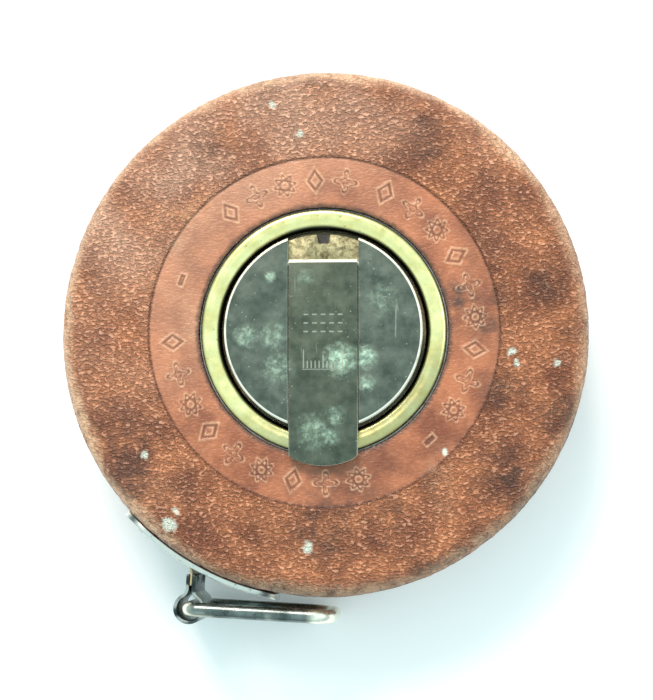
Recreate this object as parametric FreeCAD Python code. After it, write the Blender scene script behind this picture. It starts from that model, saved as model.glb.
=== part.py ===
"""A 10 m tape reel in a leather-covered case, with a flush folding crank. Units are millimetres.

+Z is the reel's axis and points out of the crank side. The origin is on that axis, on the flat back
face that the reel lies on. The tape leaves through a mouth in the rim, on the -X -Y side."""

import FreeCAD, Part
import math
import os

from FreeCAD import Vector

# Case
CASE_R = 45.0            # outside of the leather
CASE_H = 24.0            # back leather face to front leather face
LEATHER = 1.4
SHEET = 0.6              # pressed steel of the two shells
CORNER_R = 3.0           # outside corner of the leather
CAP_WRAP = 5.5           # how far the face leathers wrap down the rim
SEAM = 0.12              # gap between a face leather and the rim band
BAND_STEP = 0.15         # the rim band lies this much lower than the face leathers
SHELL_GAP = 0.05         # between the two telescoping shell walls

# Tape
TAPE_W = 15.0
TAPE_T = 0.36
TAPE_SIDE_GAP = 0.2      # between the coil and the drum's flange
MID_Z = CASE_H / 2
COIL_R = 35.9
CORE_R = 12.0
CORE_T = 0.8
ANCHOR_R = 0.8           # pin that holds the tape's inner end
ANCHOR_AT_R = 10.2
ANCHOR_DEG = 60.0
FLANGE_R = 15.5          # the two flanges of the drum
BUSH_R = 4.2
BUSH_COLLAR_R = 5.6
DRUM_SCREW_R = 0.7
DRUM_SCREW_HEAD_R = 1.25
DRUM_SCREW_AT_R = 13.7

# Front hub
LEATHER_HOLE_R = 21.5
BEZEL_OUT_R = 20.9
BEZEL_IN_R = 17.3
BEZEL_T = 0.6
BEZEL_CROWN = 0.12       # the bezel's crown above the leather
CLINCH_T = 0.9           # ring that the bezel's tube is rolled over, inside the case
ROLL_R = 1.2             # how far the tube is rolled out under that ring
ROLL_T = 0.45
DISC_R = 16.8
DISC_NECK_R = 16.5
DISC_PROUD = 1.9         # top of the disc above the leather
DISC_EDGE_R = 0.45
DISC_SEAT = 1.8          # underside of the disc below the leather

# Crank
ARM_W = 11.6
ARM_T = 1.5
ARM_TIP_Y = -22.8
ARM_TIP_R = 11.8
ARM_CORNER = 0.7
CHANNEL_W = 12.0
CHANNEL_FLOOR = 0.2      # below the arm
PIN_R = 0.45
PIN_Y = 11.35
PIN_LEN = 23.0
RUN = 0.05               # radial clearance of a running fit
KNOB_Y = -8.0
KNOB_R = 2.3
KNOB_L = 3.85
KNOB_GAP = 0.25          # knob to arm
POCKET_R = 3.0
STUD_R = 0.9
STUD_DEEP = 0.8          # into the arm
SPRING_T = 0.25          # leaf under the arm that bears on its knuckle
SPRING_W = 5.0
SPRING_Y0 = 4.9
SPRING_Y1 = 11.4
SPRING_RIVET_Y = 6.2
SPRING_RIVET_R = 0.6
NOTCH_Y = 15.0           # drain notch at the outer end of the channel
NOTCH_W = 2.5
NOTCH_DEPTH = 0.6

# Fixed axle
AXLE_R = 3.0
AXLE_FLANGE_R = 8.0
AXLE_FLANGE_T = 0.5
AXLE_TAIL_R = 2.5        # riveted end that fills the hole in the back shell
AXLE_RISE = 0.95         # top of the axle above the underside of the disc
WASHER_T = 0.4
SCREW_R = 1.2
SCREW_L = 6.0
SCREW_HEAD_R = 2.4
SCREW_WASHER_R = 3.6
SCREW_WASHER_T = 0.3
RECESS_R = 3.9           # in the disc, round the screw's washer

# Mouth and end fitting
MOUTH_DEG = -119.5       # where the tape leaves the rim
MOUTH_R = 46.1
PLATE_T = 1.0
PLATE_HALF_DEG = 18.3
PLATE_H = 17.8
PLATE_CORNER = 5.0
SLOT_W = 4.6
SLOT_H = 15.4
OPENING_W = 8.4          # cut in leather and shells behind the plate
OPENING_H = 16.0
LINER_T = 0.4
RIVET_R = 0.6
RIVET_HEAD_R = 1.15
RIVET_HEAD_H = 0.5
LEADER_LEN = 27.0
LEADER_CLEAR = 0.42      # leader's face to the coil
CLASP_DEG = -94.2        # the way the end fitting hangs
CLASP_W = 15.6
CLASP_START = 1.1        # mouth to the near end of the leaves
LEAF_T = 0.6
LEAF_GAP = 0.4           # between the two leaves, where the tape is held
CLASP_RIVET_U = 2.0
CLASP_RIVET_R = 0.45
CLASP_RIVET_HEAD_R = 0.75
CLASP_RIVET_HEAD_H = 0.28
CLASP_RIVET_SPREAD = 4.8 # each rivet's height from the middle of the tape
EYE_U = 6.8              # mouth to the eye's centre
EYE_R = 2.65
EYE_HOLE_R = 1.95
EYE_FILLET = 1.2
WIRE_R = 1.2
RING_DEG = -3.2          # the way the ring lies
RING_L = 24.2
RING_HALF_W = 9.7
RING_BEND_EYE = 1.9
RING_BEND_END = 3.4

UP = Vector(0, 0, 1)
ORIGIN = Vector(0, 0, 0)

arm_top = CASE_H + DISC_PROUD
arm_bottom = arm_top - ARM_T
pin_z = arm_top - ARM_T / 2
floor_z = arm_bottom - CHANNEL_FLOOR
disc_bottom = CASE_H - DISC_SEAT
axle_top = disc_bottom + AXLE_RISE
shell_top = CASE_H - LEATHER
shell_r = CASE_R - LEATHER
inner_wall_r = shell_r - SHEET - SHELL_GAP
joggle_z = LEATHER + 2.4 # where the back shell steps in behind the front shell's wall
clinch_low = shell_top - SHEET - CLINCH_T
tape_low = MID_Z - TAPE_W / 2
tape_high = MID_Z + TAPE_W / 2
axle_flange_low = LEATHER + SHEET
axle_flange_top = axle_flange_low + AXLE_FLANGE_T
drum_low = axle_flange_top + WASHER_T + 0.1
drum_flange_top = tape_low - TAPE_SIDE_GAP
clasp_half = LEAF_T + LEAF_GAP / 2
plate_in_r = CASE_R + 0.05
plate_out_r = plate_in_r + PLATE_T
leader_distance = COIL_R + LEADER_CLEAR + TAPE_T / 2
pull_deg = MOUTH_DEG + math.degrees(math.asin(leader_distance / MOUTH_R))
foot_deg = pull_deg - 90.0
opening_deg = foot_deg + math.degrees(math.acos(leader_distance / (shell_r + 0.2)))


def polar(radius, degrees, z=0.0):
    angle = math.radians(degrees)
    return Vector(radius * math.cos(angle), radius * math.sin(angle), z)


mouth = polar(MOUTH_R, MOUTH_DEG)
eye = mouth + polar(EYE_U, CLASP_DEG)


def disc(radius, low, high, at=ORIGIN):
    return Part.makeCylinder(radius, high - low, Vector(at.x, at.y, low), UP)


def ring(inner, outer, low, high, at=ORIGIN):
    return disc(outer, low, high, at).cut(disc(inner, low - 1, high + 1, at))


def box(x0, x1, y0, y1, z0, z1):
    return Part.makeBox(x1 - x0, y1 - y0, z1 - z0, Vector(x0, y0, z0))


def turned(points):
    """A solid of revolution about Z from (radius, height) points. A third item is a point that the
    stretch up to the next point passes through, which makes it an arc."""
    edges = []
    for here, there in zip(points, points[1:] + points[:1]):
        start = Vector(here[0], 0, here[1])
        end = Vector(there[0], 0, there[1])
        if len(here) > 2:
            middle = Vector(here[2][0], 0, here[2][1])
            edges.append(Part.Arc(start, middle, end).toShape())
        else:
            edges.append(Part.makeLine(start, end))
    return Part.Face(Part.Wire(edges)).revolve(ORIGIN, UP, 360)


def arc_middle(centre, radius, degrees):
    angle = math.radians(degrees)
    return (centre[0] + radius * math.cos(angle), centre[1] + radius * math.sin(angle))


def turn_to(shape, degrees, at=ORIGIN):
    """The shape, drawn along +X from the origin, laid along a direction from a point."""
    moved = shape.copy()
    moved.rotate(ORIGIN, UP, degrees)
    moved.translate(at)
    return moved


def mirror_height(shape):
    """The shape turned over, front to back, about the case's middle plane."""
    return shape.mirror(Vector(0, 0, MID_Z), UP)


# ---- openings that several parts share

def mouth_opening():
    """The block cut through leather and shells for the tape's slanting way out."""
    half_w = OPENING_W / 2
    half_h = OPENING_H / 2
    block = box(CASE_R - 5, CASE_R + 1, -half_w, half_w, MID_Z - half_h, MID_Z + half_h)
    return turn_to(block, opening_deg)


def rivet_places():
    """Direction and height of each mouth-plate rivet."""
    return [
        (MOUTH_DEG + side * (PLATE_HALF_DEG - 4.4), MID_Z + up * 4.6)
        for side in (-1, 1)
        for up in (-1, 1)
    ]


def radial_shank(degrees, z, low_r, high_r):
    return Part.makeCylinder(RIVET_R, high_r - low_r, polar(low_r, degrees, z), polar(1, degrees))


def with_rivet_holes(shape):
    for degrees, z in rivet_places():
        shape = shape.cut(radial_shank(degrees, z, inner_wall_r - 2, plate_out_r + 2))
    return shape


# ---- case

def front_leather():
    centre = (CASE_R - CORNER_R, CASE_H - CORNER_R)
    inner_corner = CORNER_R - LEATHER
    return turned([
        (LEATHER_HOLE_R, shell_top),
        (LEATHER_HOLE_R, CASE_H - 0.3, arc_middle((LEATHER_HOLE_R + 0.3, CASE_H - 0.3), 0.3, 135)),
        (LEATHER_HOLE_R + 0.3, CASE_H),
        (centre[0], CASE_H, arc_middle(centre, CORNER_R, 45)),
        (CASE_R, centre[1]),
        (CASE_R, CASE_H - CAP_WRAP),
        (shell_r, CASE_H - CAP_WRAP),
        (shell_r, centre[1], arc_middle(centre, inner_corner, 45)),
        (centre[0], shell_top),
    ]).cut(mouth_opening())


def back_leather():
    centre = (CASE_R - CORNER_R, CASE_H - CORNER_R)
    inner_corner = CORNER_R - LEATHER
    cap = turned([
        (0, shell_top),
        (0, CASE_H),
        (centre[0], CASE_H, arc_middle(centre, CORNER_R, 45)),
        (CASE_R, centre[1]),
        (CASE_R, CASE_H - CAP_WRAP),
        (shell_r, CASE_H - CAP_WRAP),
        (shell_r, centre[1], arc_middle(centre, inner_corner, 45)),
        (centre[0], shell_top),
    ])
    return mirror_height(cap).cut(mouth_opening())


def rim_leather():
    low, high = CAP_WRAP + SEAM, CASE_H - CAP_WRAP - SEAM
    band = ring(shell_r, CASE_R - BAND_STEP, low, high)
    return with_rivet_holes(band.cut(mouth_opening()))


def front_shell():
    corner = CORNER_R - LEATHER
    centre = (shell_r - corner, shell_top - corner)
    pan = turned([
        (BEZEL_IN_R + BEZEL_T, shell_top - SHEET),
        (BEZEL_IN_R + BEZEL_T, shell_top),
        (centre[0], shell_top, arc_middle(centre, corner, 45)),
        (shell_r, centre[1]),
        (shell_r, joggle_z),
        (shell_r - SHEET, joggle_z),
        (shell_r - SHEET, centre[1], arc_middle(centre, corner - SHEET, 45)),
        (centre[0], shell_top - SHEET),
    ])
    return with_rivet_holes(pan.cut(mouth_opening()))


def back_shell():
    corner = CORNER_R - LEATHER
    centre = (shell_r - corner, LEATHER + corner)
    wall_top = shell_top - 2.2
    pan = turned([
        (AXLE_TAIL_R, LEATHER),
        (centre[0], LEATHER, arc_middle(centre, corner, -45)),
        (shell_r, centre[1]),
        (shell_r, joggle_z),
        (inner_wall_r, joggle_z),
        (inner_wall_r, wall_top),
        (inner_wall_r - SHEET, wall_top),
        (inner_wall_r - SHEET, joggle_z - SHEET),
        (shell_r - SHEET, centre[1], arc_middle(centre, corner - SHEET, -45)),
        (centre[0], LEATHER + SHEET),
        (AXLE_TAIL_R, LEATHER + SHEET),
    ])
    return with_rivet_holes(pan.cut(mouth_opening()))


def hub_bezel():
    crown = CASE_H + BEZEL_CROWN
    tube_r = BEZEL_IN_R + BEZEL_T
    return turned([
        (BEZEL_OUT_R, shell_top),
        (BEZEL_OUT_R, crown - 0.75, (BEZEL_OUT_R - 0.12, crown - 0.4)),
        (BEZEL_OUT_R - 0.5, crown - 0.12, (BEZEL_OUT_R - 1.25, crown)),
        (BEZEL_IN_R + 1.4, crown - 0.12, (BEZEL_IN_R + 0.42, crown - 0.52)),
        (BEZEL_IN_R, crown - 1.5),
        (BEZEL_IN_R, clinch_low - ROLL_T),
        (tube_r + ROLL_R, clinch_low - ROLL_T),
        (tube_r + ROLL_R, clinch_low),
        (tube_r, clinch_low),
        (tube_r, shell_top),
    ])


def bezel_clinch_ring():
    return ring(BEZEL_IN_R + BEZEL_T, BEZEL_OUT_R, clinch_low, shell_top - SHEET)


def axle_stud():
    tail = disc(AXLE_TAIL_R, LEATHER, axle_flange_low)
    stud = tail.fuse(disc(AXLE_FLANGE_R, axle_flange_low, axle_flange_top))
    stud = stud.fuse(disc(AXLE_R, axle_flange_low, axle_top)).removeSplitter()
    return stud.cut(disc(SCREW_R, axle_top - SCREW_L, axle_top + 1))


def axle_washer():
    return ring(SCREW_R + RUN, SCREW_WASHER_R, axle_top, axle_top + SCREW_WASHER_T)


def axle_screw():
    head_low = axle_top + SCREW_WASHER_T
    head_top = floor_z - 0.05
    head = disc(SCREW_HEAD_R, head_low, head_top)
    head = head.makeFillet(0.2, [e for e in head.Edges if abs(e.BoundBox.ZMin - head_top) < 1e-6])
    screw = head.fuse(disc(SCREW_R, axle_top - SCREW_L, head_low)).removeSplitter()
    slot = box(-3, 3, -0.3, 0.3, head_top - 0.4, head_top + 1)
    return screw.cut(turn_to(slot, 35))


def thrust_washer():
    return ring(AXLE_R + 0.1, AXLE_FLANGE_R, axle_flange_top, axle_flange_top + WASHER_T)


def mouth_plate():
    plate = ring(plate_in_r, plate_out_r, MID_Z - PLATE_H / 2, MID_Z + PLATE_H / 2)
    half = plate_out_r * math.sin(math.radians(PLATE_HALF_DEG))
    outline = box(38, 48, -half, half, MID_Z - PLATE_H / 2, MID_Z + PLATE_H / 2)
    corners = [e for e in outline.Edges if abs(e.BoundBox.XLength - 10) < 1e-6]
    outline = outline.makeFillet(PLATE_CORNER, corners)
    plate = plate.common(turn_to(outline, MOUTH_DEG))
    slot = box(40, 48, -SLOT_W / 2, SLOT_W / 2, MID_Z - SLOT_H / 2, MID_Z + SLOT_H / 2)
    return with_rivet_holes(plate.cut(turn_to(slot, MOUTH_DEG)))


def mouth_liner():
    sleeve = ring(inner_wall_r - SHEET, plate_in_r, MID_Z - OPENING_H / 2, MID_Z + OPENING_H / 2)
    half_w = OPENING_W / 2 - LINER_T
    half_h = OPENING_H / 2 - LINER_T
    hole = box(39, 47, -half_w, half_w, MID_Z - half_h, MID_Z + half_h)
    return sleeve.common(mouth_opening()).cut(turn_to(hole, opening_deg))


def mouth_rivets():
    rivets = []
    for degrees, z in rivet_places():
        shank = radial_shank(degrees, z, inner_wall_r - SHEET, plate_out_r + 0.05)
        cap_r = (RIVET_HEAD_R ** 2 + RIVET_HEAD_H ** 2) / (2 * RIVET_HEAD_H)
        ball = Part.makeSphere(cap_r, polar(plate_out_r + RIVET_HEAD_H - cap_r, degrees, z))
        seat = Part.makeCylinder(3, 3, polar(plate_out_r, degrees, z), polar(1, degrees))
        rivets.append(shank.fuse(ball.common(seat)).removeSplitter())
    return Part.makeCompound(rivets)


# ---- reel

def hub_disc():
    body = disc(DISC_R, floor_z - 0.2, arm_top)
    rim = [e for e in body.Edges if abs(e.BoundBox.ZMin - arm_top) < 1e-6]
    body = body.makeFillet(DISC_EDGE_R, rim)
    body = body.fuse(disc(DISC_NECK_R, disc_bottom, floor_z)).removeSplitter()
    body = body.cut(box(-CHANNEL_W / 2, CHANNEL_W / 2, -20, 20, floor_z, arm_top + 1))
    body = body.cut(disc(POCKET_R, disc_bottom - 1, arm_top, Vector(0, KNOB_Y, 0)))
    body = body.cut(disc(AXLE_R + RUN, disc_bottom - 1, arm_top))
    body = body.cut(disc(RECESS_R, disc_bottom + 0.9, arm_top))
    body = body.cut(crank_pin())
    body = body.cut(spring_seat(0.0))
    body = body.cut(box(-NOTCH_W / 2, NOTCH_W / 2, NOTCH_Y, 20, floor_z - NOTCH_DEPTH, arm_top))
    body = body.cut(disc(SPRING_RIVET_R, disc_bottom + 0.4, floor_z, Vector(0, SPRING_RIVET_Y, 0)))
    for place in drum_screw_places():
        body = body.cut(disc(DRUM_SCREW_R, disc_bottom - 1, floor_z - 0.4, place))
    return body


def spring_seat(inset):
    half = SPRING_W / 2 - inset
    return box(-half, half, SPRING_Y0 + inset, SPRING_Y1 - inset, floor_z - SPRING_T, floor_z)


def crank_spring():
    rivet_hole = disc(SPRING_RIVET_R, floor_z - 2, floor_z + 1, Vector(0, SPRING_RIVET_Y, 0))
    return spring_seat(0.05).cut(rivet_hole)


def spring_rivet():
    at = Vector(0, SPRING_RIVET_Y, 0)
    head = disc(1.0, floor_z, floor_z + 0.12, at)
    return head.fuse(disc(SPRING_RIVET_R, disc_bottom + 0.4, floor_z, at)).removeSplitter()


def along_x(radius, length, y, z):
    return Part.makeCylinder(radius, length, Vector(-length / 2, y, z), Vector(1, 0, 0))


def crank_pin():
    return along_x(PIN_R, PIN_LEN, PIN_Y, pin_z)


def drum_screw_places():
    return [polar(DRUM_SCREW_AT_R, 30 + 120 * k) for k in range(3)]


def drum_core():
    wall = ring(CORE_R - CORE_T, CORE_R, drum_flange_top, disc_bottom - CORE_T)
    core = ring(BUSH_R, FLANGE_R, drum_low, drum_flange_top).fuse(wall).removeSplitter()
    core = core.cut(disc(ANCHOR_R, drum_low - 1, drum_flange_top + 1, polar(ANCHOR_AT_R, ANCHOR_DEG)))
    slit = box(CORE_R - 2, CORE_R + 1, -0.6, 0.6, drum_flange_top + 0.5, disc_bottom)
    return core.cut(turn_to(slit, ANCHOR_DEG))


def tape_anchor_pin():
    return disc(ANCHOR_R, drum_low, tape_high, polar(ANCHOR_AT_R, ANCHOR_DEG))


def drum_bush():
    bush = ring(AXLE_R + RUN, BUSH_R, drum_low, drum_flange_top + 6)
    collar = ring(BUSH_R, BUSH_COLLAR_R, drum_flange_top, drum_flange_top + 0.6)
    return bush.fuse(collar).removeSplitter()


def drum_plate():
    plate = ring(CORE_R - CORE_T, FLANGE_R, disc_bottom - CORE_T, disc_bottom)
    for place in drum_screw_places():
        plate = plate.cut(disc(DRUM_SCREW_R, disc_bottom - 2, disc_bottom + 1, place))
    return plate


def drum_screws():
    screws = []
    for place in drum_screw_places():
        head_low = disc_bottom - CORE_T - 0.6
        head = disc(DRUM_SCREW_HEAD_R, head_low, disc_bottom - CORE_T, place)
        shank = disc(DRUM_SCREW_R, disc_bottom - CORE_T, floor_z - 0.6, place)
        screw = head.fuse(shank).removeSplitter()
        slot = box(-2, 2, -0.2, 0.2, head_low - 1, head_low + 0.3)
        screws.append(screw.cut(turn_to(slot, 20, place)))
    return Part.makeCompound(screws)


def tape_coil():
    return ring(CORE_R + 0.02, COIL_R, tape_low, tape_high)


# ---- crank

def arm_outline():
    half = ARM_W / 2
    centre_y = ARM_TIP_Y + ARM_TIP_R
    cut_x = half - ARM_CORNER
    cut_y = centre_y - math.sqrt(ARM_TIP_R ** 2 - cut_x ** 2)
    top_left = Vector(-half, PIN_Y, 0)
    top_right = Vector(half, PIN_Y, 0)
    right = Vector(half, cut_y + ARM_CORNER, 0)
    left = Vector(-half, cut_y + ARM_CORNER, 0)
    right_tip = Vector(cut_x, cut_y, 0)
    left_tip = Vector(-cut_x, cut_y, 0)
    edges = [
        Part.makeLine(top_left, top_right),
        Part.makeLine(top_right, right),
        Part.makeLine(right, right_tip),
        Part.Arc(right_tip, Vector(0, ARM_TIP_Y, 0), left_tip).toShape(),
        Part.makeLine(left_tip, left),
        Part.makeLine(left, top_left),
    ]
    return Part.Face(Part.Wire(edges))


def scale_marks():
    """An engraved ruler motif across the arm: a base line, its ticks and three rows of dashes."""
    depth = 0.14
    low, high = arm_top - depth, arm_top + 1
    base_y = -6.6
    half_length = 3.3
    marks = [box(-half_length, half_length, base_y - 0.09, base_y + 0.09, low, high)]
    last = 10
    for k in range(last + 1):
        x = half_length * (2 * k / last - 1)
        height = 3.4 if k in (0, last) else 2.6 if k == last / 2 else 1.5
        marks.append(box(x - 0.1, x + 0.1, base_y, base_y + height, low, high))
    for row in range(3):
        y = 2.7 - 1.45 * row
        for k in range(5):
            x = -2.9 + 1.45 * k
            marks.append(box(x - 0.38, x + 0.38, y - 0.13, y + 0.13, low, high))
    return marks


def crank_arm():
    arm = arm_outline().extrude(Vector(0, 0, ARM_T))
    arm.translate(Vector(0, 0, arm_bottom))
    arm = arm.fuse(along_x(ARM_T / 2, ARM_W, PIN_Y, pin_z)).removeSplitter()
    arm = arm.cut(along_x(PIN_R + RUN, ARM_W + 2, PIN_Y, pin_z))
    arm = arm.cut(disc(STUD_R, arm_bottom - 1, arm_bottom + STUD_DEEP, Vector(0, KNOB_Y, 0)))
    return arm.cut(Part.makeCompound(scale_marks()))


def knob_stud():
    at = Vector(0, KNOB_Y, 0)
    low = arm_bottom - KNOB_GAP - KNOB_L - 0.2
    head = disc(1.5, low, low + 0.7, at)
    return head.fuse(disc(STUD_R, low + 0.7, arm_bottom + STUD_DEEP, at)).removeSplitter()


def crank_knob():
    at = Vector(0, KNOB_Y, 0)
    high = arm_bottom - KNOB_GAP
    low = high - KNOB_L
    knob = disc(KNOB_R, low, high, at)
    lower = [e for e in knob.Edges if abs(e.BoundBox.ZMax - low) < 1e-6]
    knob = knob.makeFillet(0.6, lower)
    waist = Part.makeTorus(KNOB_R + 0.75, 1.0, Vector(0, KNOB_Y, (low + high) / 2 + 0.2), UP)
    knob = knob.cut(waist)
    knob = knob.cut(disc(STUD_R + RUN, low - 1, high + 1, at))
    return knob.cut(disc(1.75, low - 1, low + 0.6, at))


# ---- tape, end fitting and ring

def tape_leader():
    strip = box(-LEADER_LEN, 0, -TAPE_T / 2, TAPE_T / 2, tape_low, tape_high)
    nose = Part.makeCylinder(TAPE_T / 2, TAPE_W, Vector(0, 0, tape_low), UP)
    return turn_to(strip.fuse(nose).removeSplitter(), pull_deg, mouth)


def end_clasp():
    half = clasp_half
    reach = math.sqrt((EYE_R + EYE_FILLET) ** 2 - (half + EYE_FILLET) ** 2)
    fillet_u = EYE_U - reach
    share = EYE_R / (EYE_R + EYE_FILLET)
    touch = Vector(EYE_U - share * reach, share * (half + EYE_FILLET), 0)
    fillet_centre = Vector(fillet_u, half + EYE_FILLET, 0)
    aim = (touch - fillet_centre).normalize() + Vector(0, -1, 0)
    bend = fillet_centre + aim.normalize() * EYE_FILLET
    upper_in = Vector(CLASP_START, half, 0)
    upper_out = Vector(fillet_u, half, 0)

    def flip(p):
        return Vector(p.x, -p.y, 0)

    edges = [
        Part.makeLine(upper_in, upper_out),
        Part.Arc(upper_out, bend, touch).toShape(),
        Part.Arc(touch, Vector(EYE_U + EYE_R, 0, 0), flip(touch)).toShape(),
        Part.Arc(flip(touch), flip(bend), flip(upper_out)).toShape(),
        Part.makeLine(flip(upper_out), flip(upper_in)),
        Part.makeLine(flip(upper_in), upper_in),
    ]
    clasp = Part.Face(Part.Wire(edges)).extrude(Vector(0, 0, CLASP_W))
    clasp.translate(Vector(0, 0, MID_Z - CLASP_W / 2))
    clasp = clasp.cut(disc(EYE_HOLE_R, 0, CASE_H, Vector(EYE_U, 0, 0)))
    clasp = clasp.cut(box(CLASP_START - 1, EYE_U, -LEAF_GAP / 2, LEAF_GAP / 2, 0, CASE_H))
    for z in clasp_rivet_heights():
        clasp = clasp.cut(cross_pin(z, half))
    return turn_to(clasp, CLASP_DEG, mouth)


def clasp_rivet_heights():
    return [MID_Z - CLASP_RIVET_SPREAD, MID_Z + CLASP_RIVET_SPREAD]


def cross_pin(z, half):
    start = Vector(CLASP_RIVET_U, -half, z)
    return Part.makeCylinder(CLASP_RIVET_R, 2 * half, start, Vector(0, 1, 0))


def clasp_rivets():
    rivets = []
    for z in clasp_rivet_heights():
        rivet = cross_pin(z, clasp_half)
        for side in (-1, 1):
            foot = Vector(CLASP_RIVET_U, side * clasp_half, z)
            aim = Vector(0, side, 0)
            head = Part.makeCone(CLASP_RIVET_HEAD_R, CLASP_RIVET_R, CLASP_RIVET_HEAD_H, foot, aim)
            rivet = rivet.fuse(head)
        rivets.append(turn_to(rivet.removeSplitter(), CLASP_DEG, mouth))
    return Part.makeCompound(rivets)


def tape_tip():
    tip = box(0.4, 3.0, -LEAF_GAP / 2, LEAF_GAP / 2, tape_low, tape_high)
    for z in clasp_rivet_heights():
        tip = tip.cut(cross_pin(z, 1))
    return turn_to(tip, CLASP_DEG, mouth)


def pull_ring():
    """A closed loop of round wire in the plane of the ring's direction and Z."""
    corners = [
        (0, -RING_HALF_W, RING_BEND_EYE),
        (RING_L, -RING_HALF_W, RING_BEND_END),
        (RING_L, RING_HALF_W, RING_BEND_END),
        (0, RING_HALF_W, RING_BEND_EYE),
    ]
    outline = [Vector(w, 0, MID_Z + z) for w, z, _ in corners]
    edges = []
    ends = []
    for k, (w, z, bend) in enumerate(corners):
        here = outline[k]
        before = (outline[k - 1] - here).normalize()
        after = (outline[(k + 1) % 4] - here).normalize()
        centre = here + (before + after) * bend
        middle = centre - (before + after).normalize() * bend
        ends.append((here + before * bend, middle, here + after * bend))
    for k, (start, middle, end) in enumerate(ends):
        edges.append(Part.Arc(start, middle, end).toShape())
        edges.append(Part.makeLine(end, ends[(k + 1) % 4][0]))
    path = Part.Wire(edges)
    start = ends[0][0]
    first = path.Edges[0]
    section = Part.Wire([Part.makeCircle(WIRE_R, start, first.tangentAt(first.FirstParameter))])
    loop = path.makePipeShell([section], True, True)
    wanted = math.pi * WIRE_R ** 2 * path.Length
    if abs(loop.Volume - wanted) > 0.01 * wanted or not loop.isValid():
        raise ValueError(f"the ring's volume is {loop.Volume:.1f}, not {wanted:.1f}")
    return turn_to(loop, RING_DEG, eye)


PARTS = {
    "front_leather": front_leather,
    "back_leather": back_leather,
    "rim_leather": rim_leather,
    "front_shell": front_shell,
    "back_shell": back_shell,
    "hub_bezel": hub_bezel,
    "bezel_clinch_ring": bezel_clinch_ring,
    "axle_stud": axle_stud,
    "axle_washer": axle_washer,
    "axle_screw": axle_screw,
    "thrust_washer": thrust_washer,
    "mouth_plate": mouth_plate,
    "mouth_liner": mouth_liner,
    "mouth_rivets": mouth_rivets,
    "hub_disc": hub_disc,
    "crank_spring": crank_spring,
    "spring_rivet": spring_rivet,
    "crank_pin": crank_pin,
    "drum_core": drum_core,
    "tape_anchor_pin": tape_anchor_pin,
    "drum_bush": drum_bush,
    "drum_plate": drum_plate,
    "drum_screws": drum_screws,
    "tape_coil": tape_coil,
    "crank_arm": crank_arm,
    "knob_stud": knob_stud,
    "crank_knob": crank_knob,
    "tape_leader": tape_leader,
    "end_clasp": end_clasp,
    "clasp_rivets": clasp_rivets,
    "tape_tip": tape_tip,
    "pull_ring": pull_ring,
}

os.makedirs("parts", exist_ok=True)
for name, make in PARTS.items():
    shape = make()
    if not shape.isValid() or shape.Volume <= 0 or not shape.Solids:
        raise ValueError(f"{name} isn't a valid solid")
    shape.exportStep(f"parts/{name}.step")
    size = shape.BoundBox
    print(f"{name:18s} {len(shape.Solids)} solid(s) {shape.Volume:9.1f} mm3  "
          f"z {size.ZMin:6.2f} to {size.ZMax:6.2f}")
print(f"pull {pull_deg:.2f} deg, mouth {mouth.x:.3f} {mouth.y:.3f}, eye {eye.x:.3f} {eye.y:.3f}")
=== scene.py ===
"""The looks of the tape reel: worn leather, brass hub ring, patinated crank, end fitting and tape."""

import math

import bpy
import numpy as np
from mathutils import Matrix, Vector


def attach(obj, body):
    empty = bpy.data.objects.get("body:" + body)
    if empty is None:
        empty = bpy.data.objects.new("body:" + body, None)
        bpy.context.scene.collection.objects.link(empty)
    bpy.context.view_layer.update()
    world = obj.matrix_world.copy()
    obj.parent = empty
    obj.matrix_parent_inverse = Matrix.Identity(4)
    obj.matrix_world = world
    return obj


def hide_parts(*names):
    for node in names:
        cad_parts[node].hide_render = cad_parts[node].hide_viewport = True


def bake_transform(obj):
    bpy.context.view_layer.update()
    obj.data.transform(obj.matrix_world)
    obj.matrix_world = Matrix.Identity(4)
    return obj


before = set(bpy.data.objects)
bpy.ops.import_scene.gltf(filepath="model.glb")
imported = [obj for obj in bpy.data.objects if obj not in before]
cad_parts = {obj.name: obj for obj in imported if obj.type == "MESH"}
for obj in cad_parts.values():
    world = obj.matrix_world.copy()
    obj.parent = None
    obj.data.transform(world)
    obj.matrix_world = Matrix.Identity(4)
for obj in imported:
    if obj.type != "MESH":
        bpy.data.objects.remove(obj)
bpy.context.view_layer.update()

MM = 0.001

# Sizes shared with the CAD, in millimetres
CASE_R = 45.0
CASE_H = 24.0
LEATHER = 1.4
CORNER_R = 3.0
CAP_WRAP = 5.5           # how far the face leathers wrap down the rim
SEAM = 0.12              # between a face leather and the rim band
SHELL_TOP = CASE_H - LEATHER
MID_Z = CASE_H / 2
BEZEL_OUT_R = 20.9
BEZEL_IN_R = 17.3
BEZEL_TUBE_R = 17.9
ROLL_R = 19.1            # the bezel's tube rolled out inside the case
DISC_R = 16.8
DISC_NECK_R = 16.5
DISC_BOTTOM = 22.2
CHANNEL_HALF = 6.0
AXLE_HOLE_R = 3.05
RECESS_R = 3.9           # round the axle screw's washer
KNOB_Y = -8.0
POCKET_R = 3.0           # the knob's
ARM_HALF = 5.8
ARM_TOP = 25.9
ARM_T = 1.5
ARM_BOTTOM = ARM_TOP - ARM_T
ARM_TIP_Y = -22.8
ARM_TIP_R = 11.8
ARM_CORNER = 0.7
FLOOR_Z = 24.2           # floor of the arm's channel
PIN_Y = 11.35
SPRING_HALF = 2.5
SPRING_Y = (4.9, 11.4)
SPRING_Z = 23.95
MOUTH_DEG = -119.5       # where the tape leaves the rim
MOUTH_R = 46.1
PLATE_H = 17.8
PLATE_CORNER = 5.0
SLOT_HALF = 2.3
SLOT_HALF_H = 7.7
OPENING_HALF = 4.2       # cut in the leathers behind the plate
OPENING_Z = (4.0, 20.0)
TAPE_HALF_W = 7.5
TAPE_AT_R = 36.5         # middle of the tape where it leaves the coil
LEADER_LEN = 27.0
PULL_DEG = -67.15        # the way the tape runs to the mouth
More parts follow.
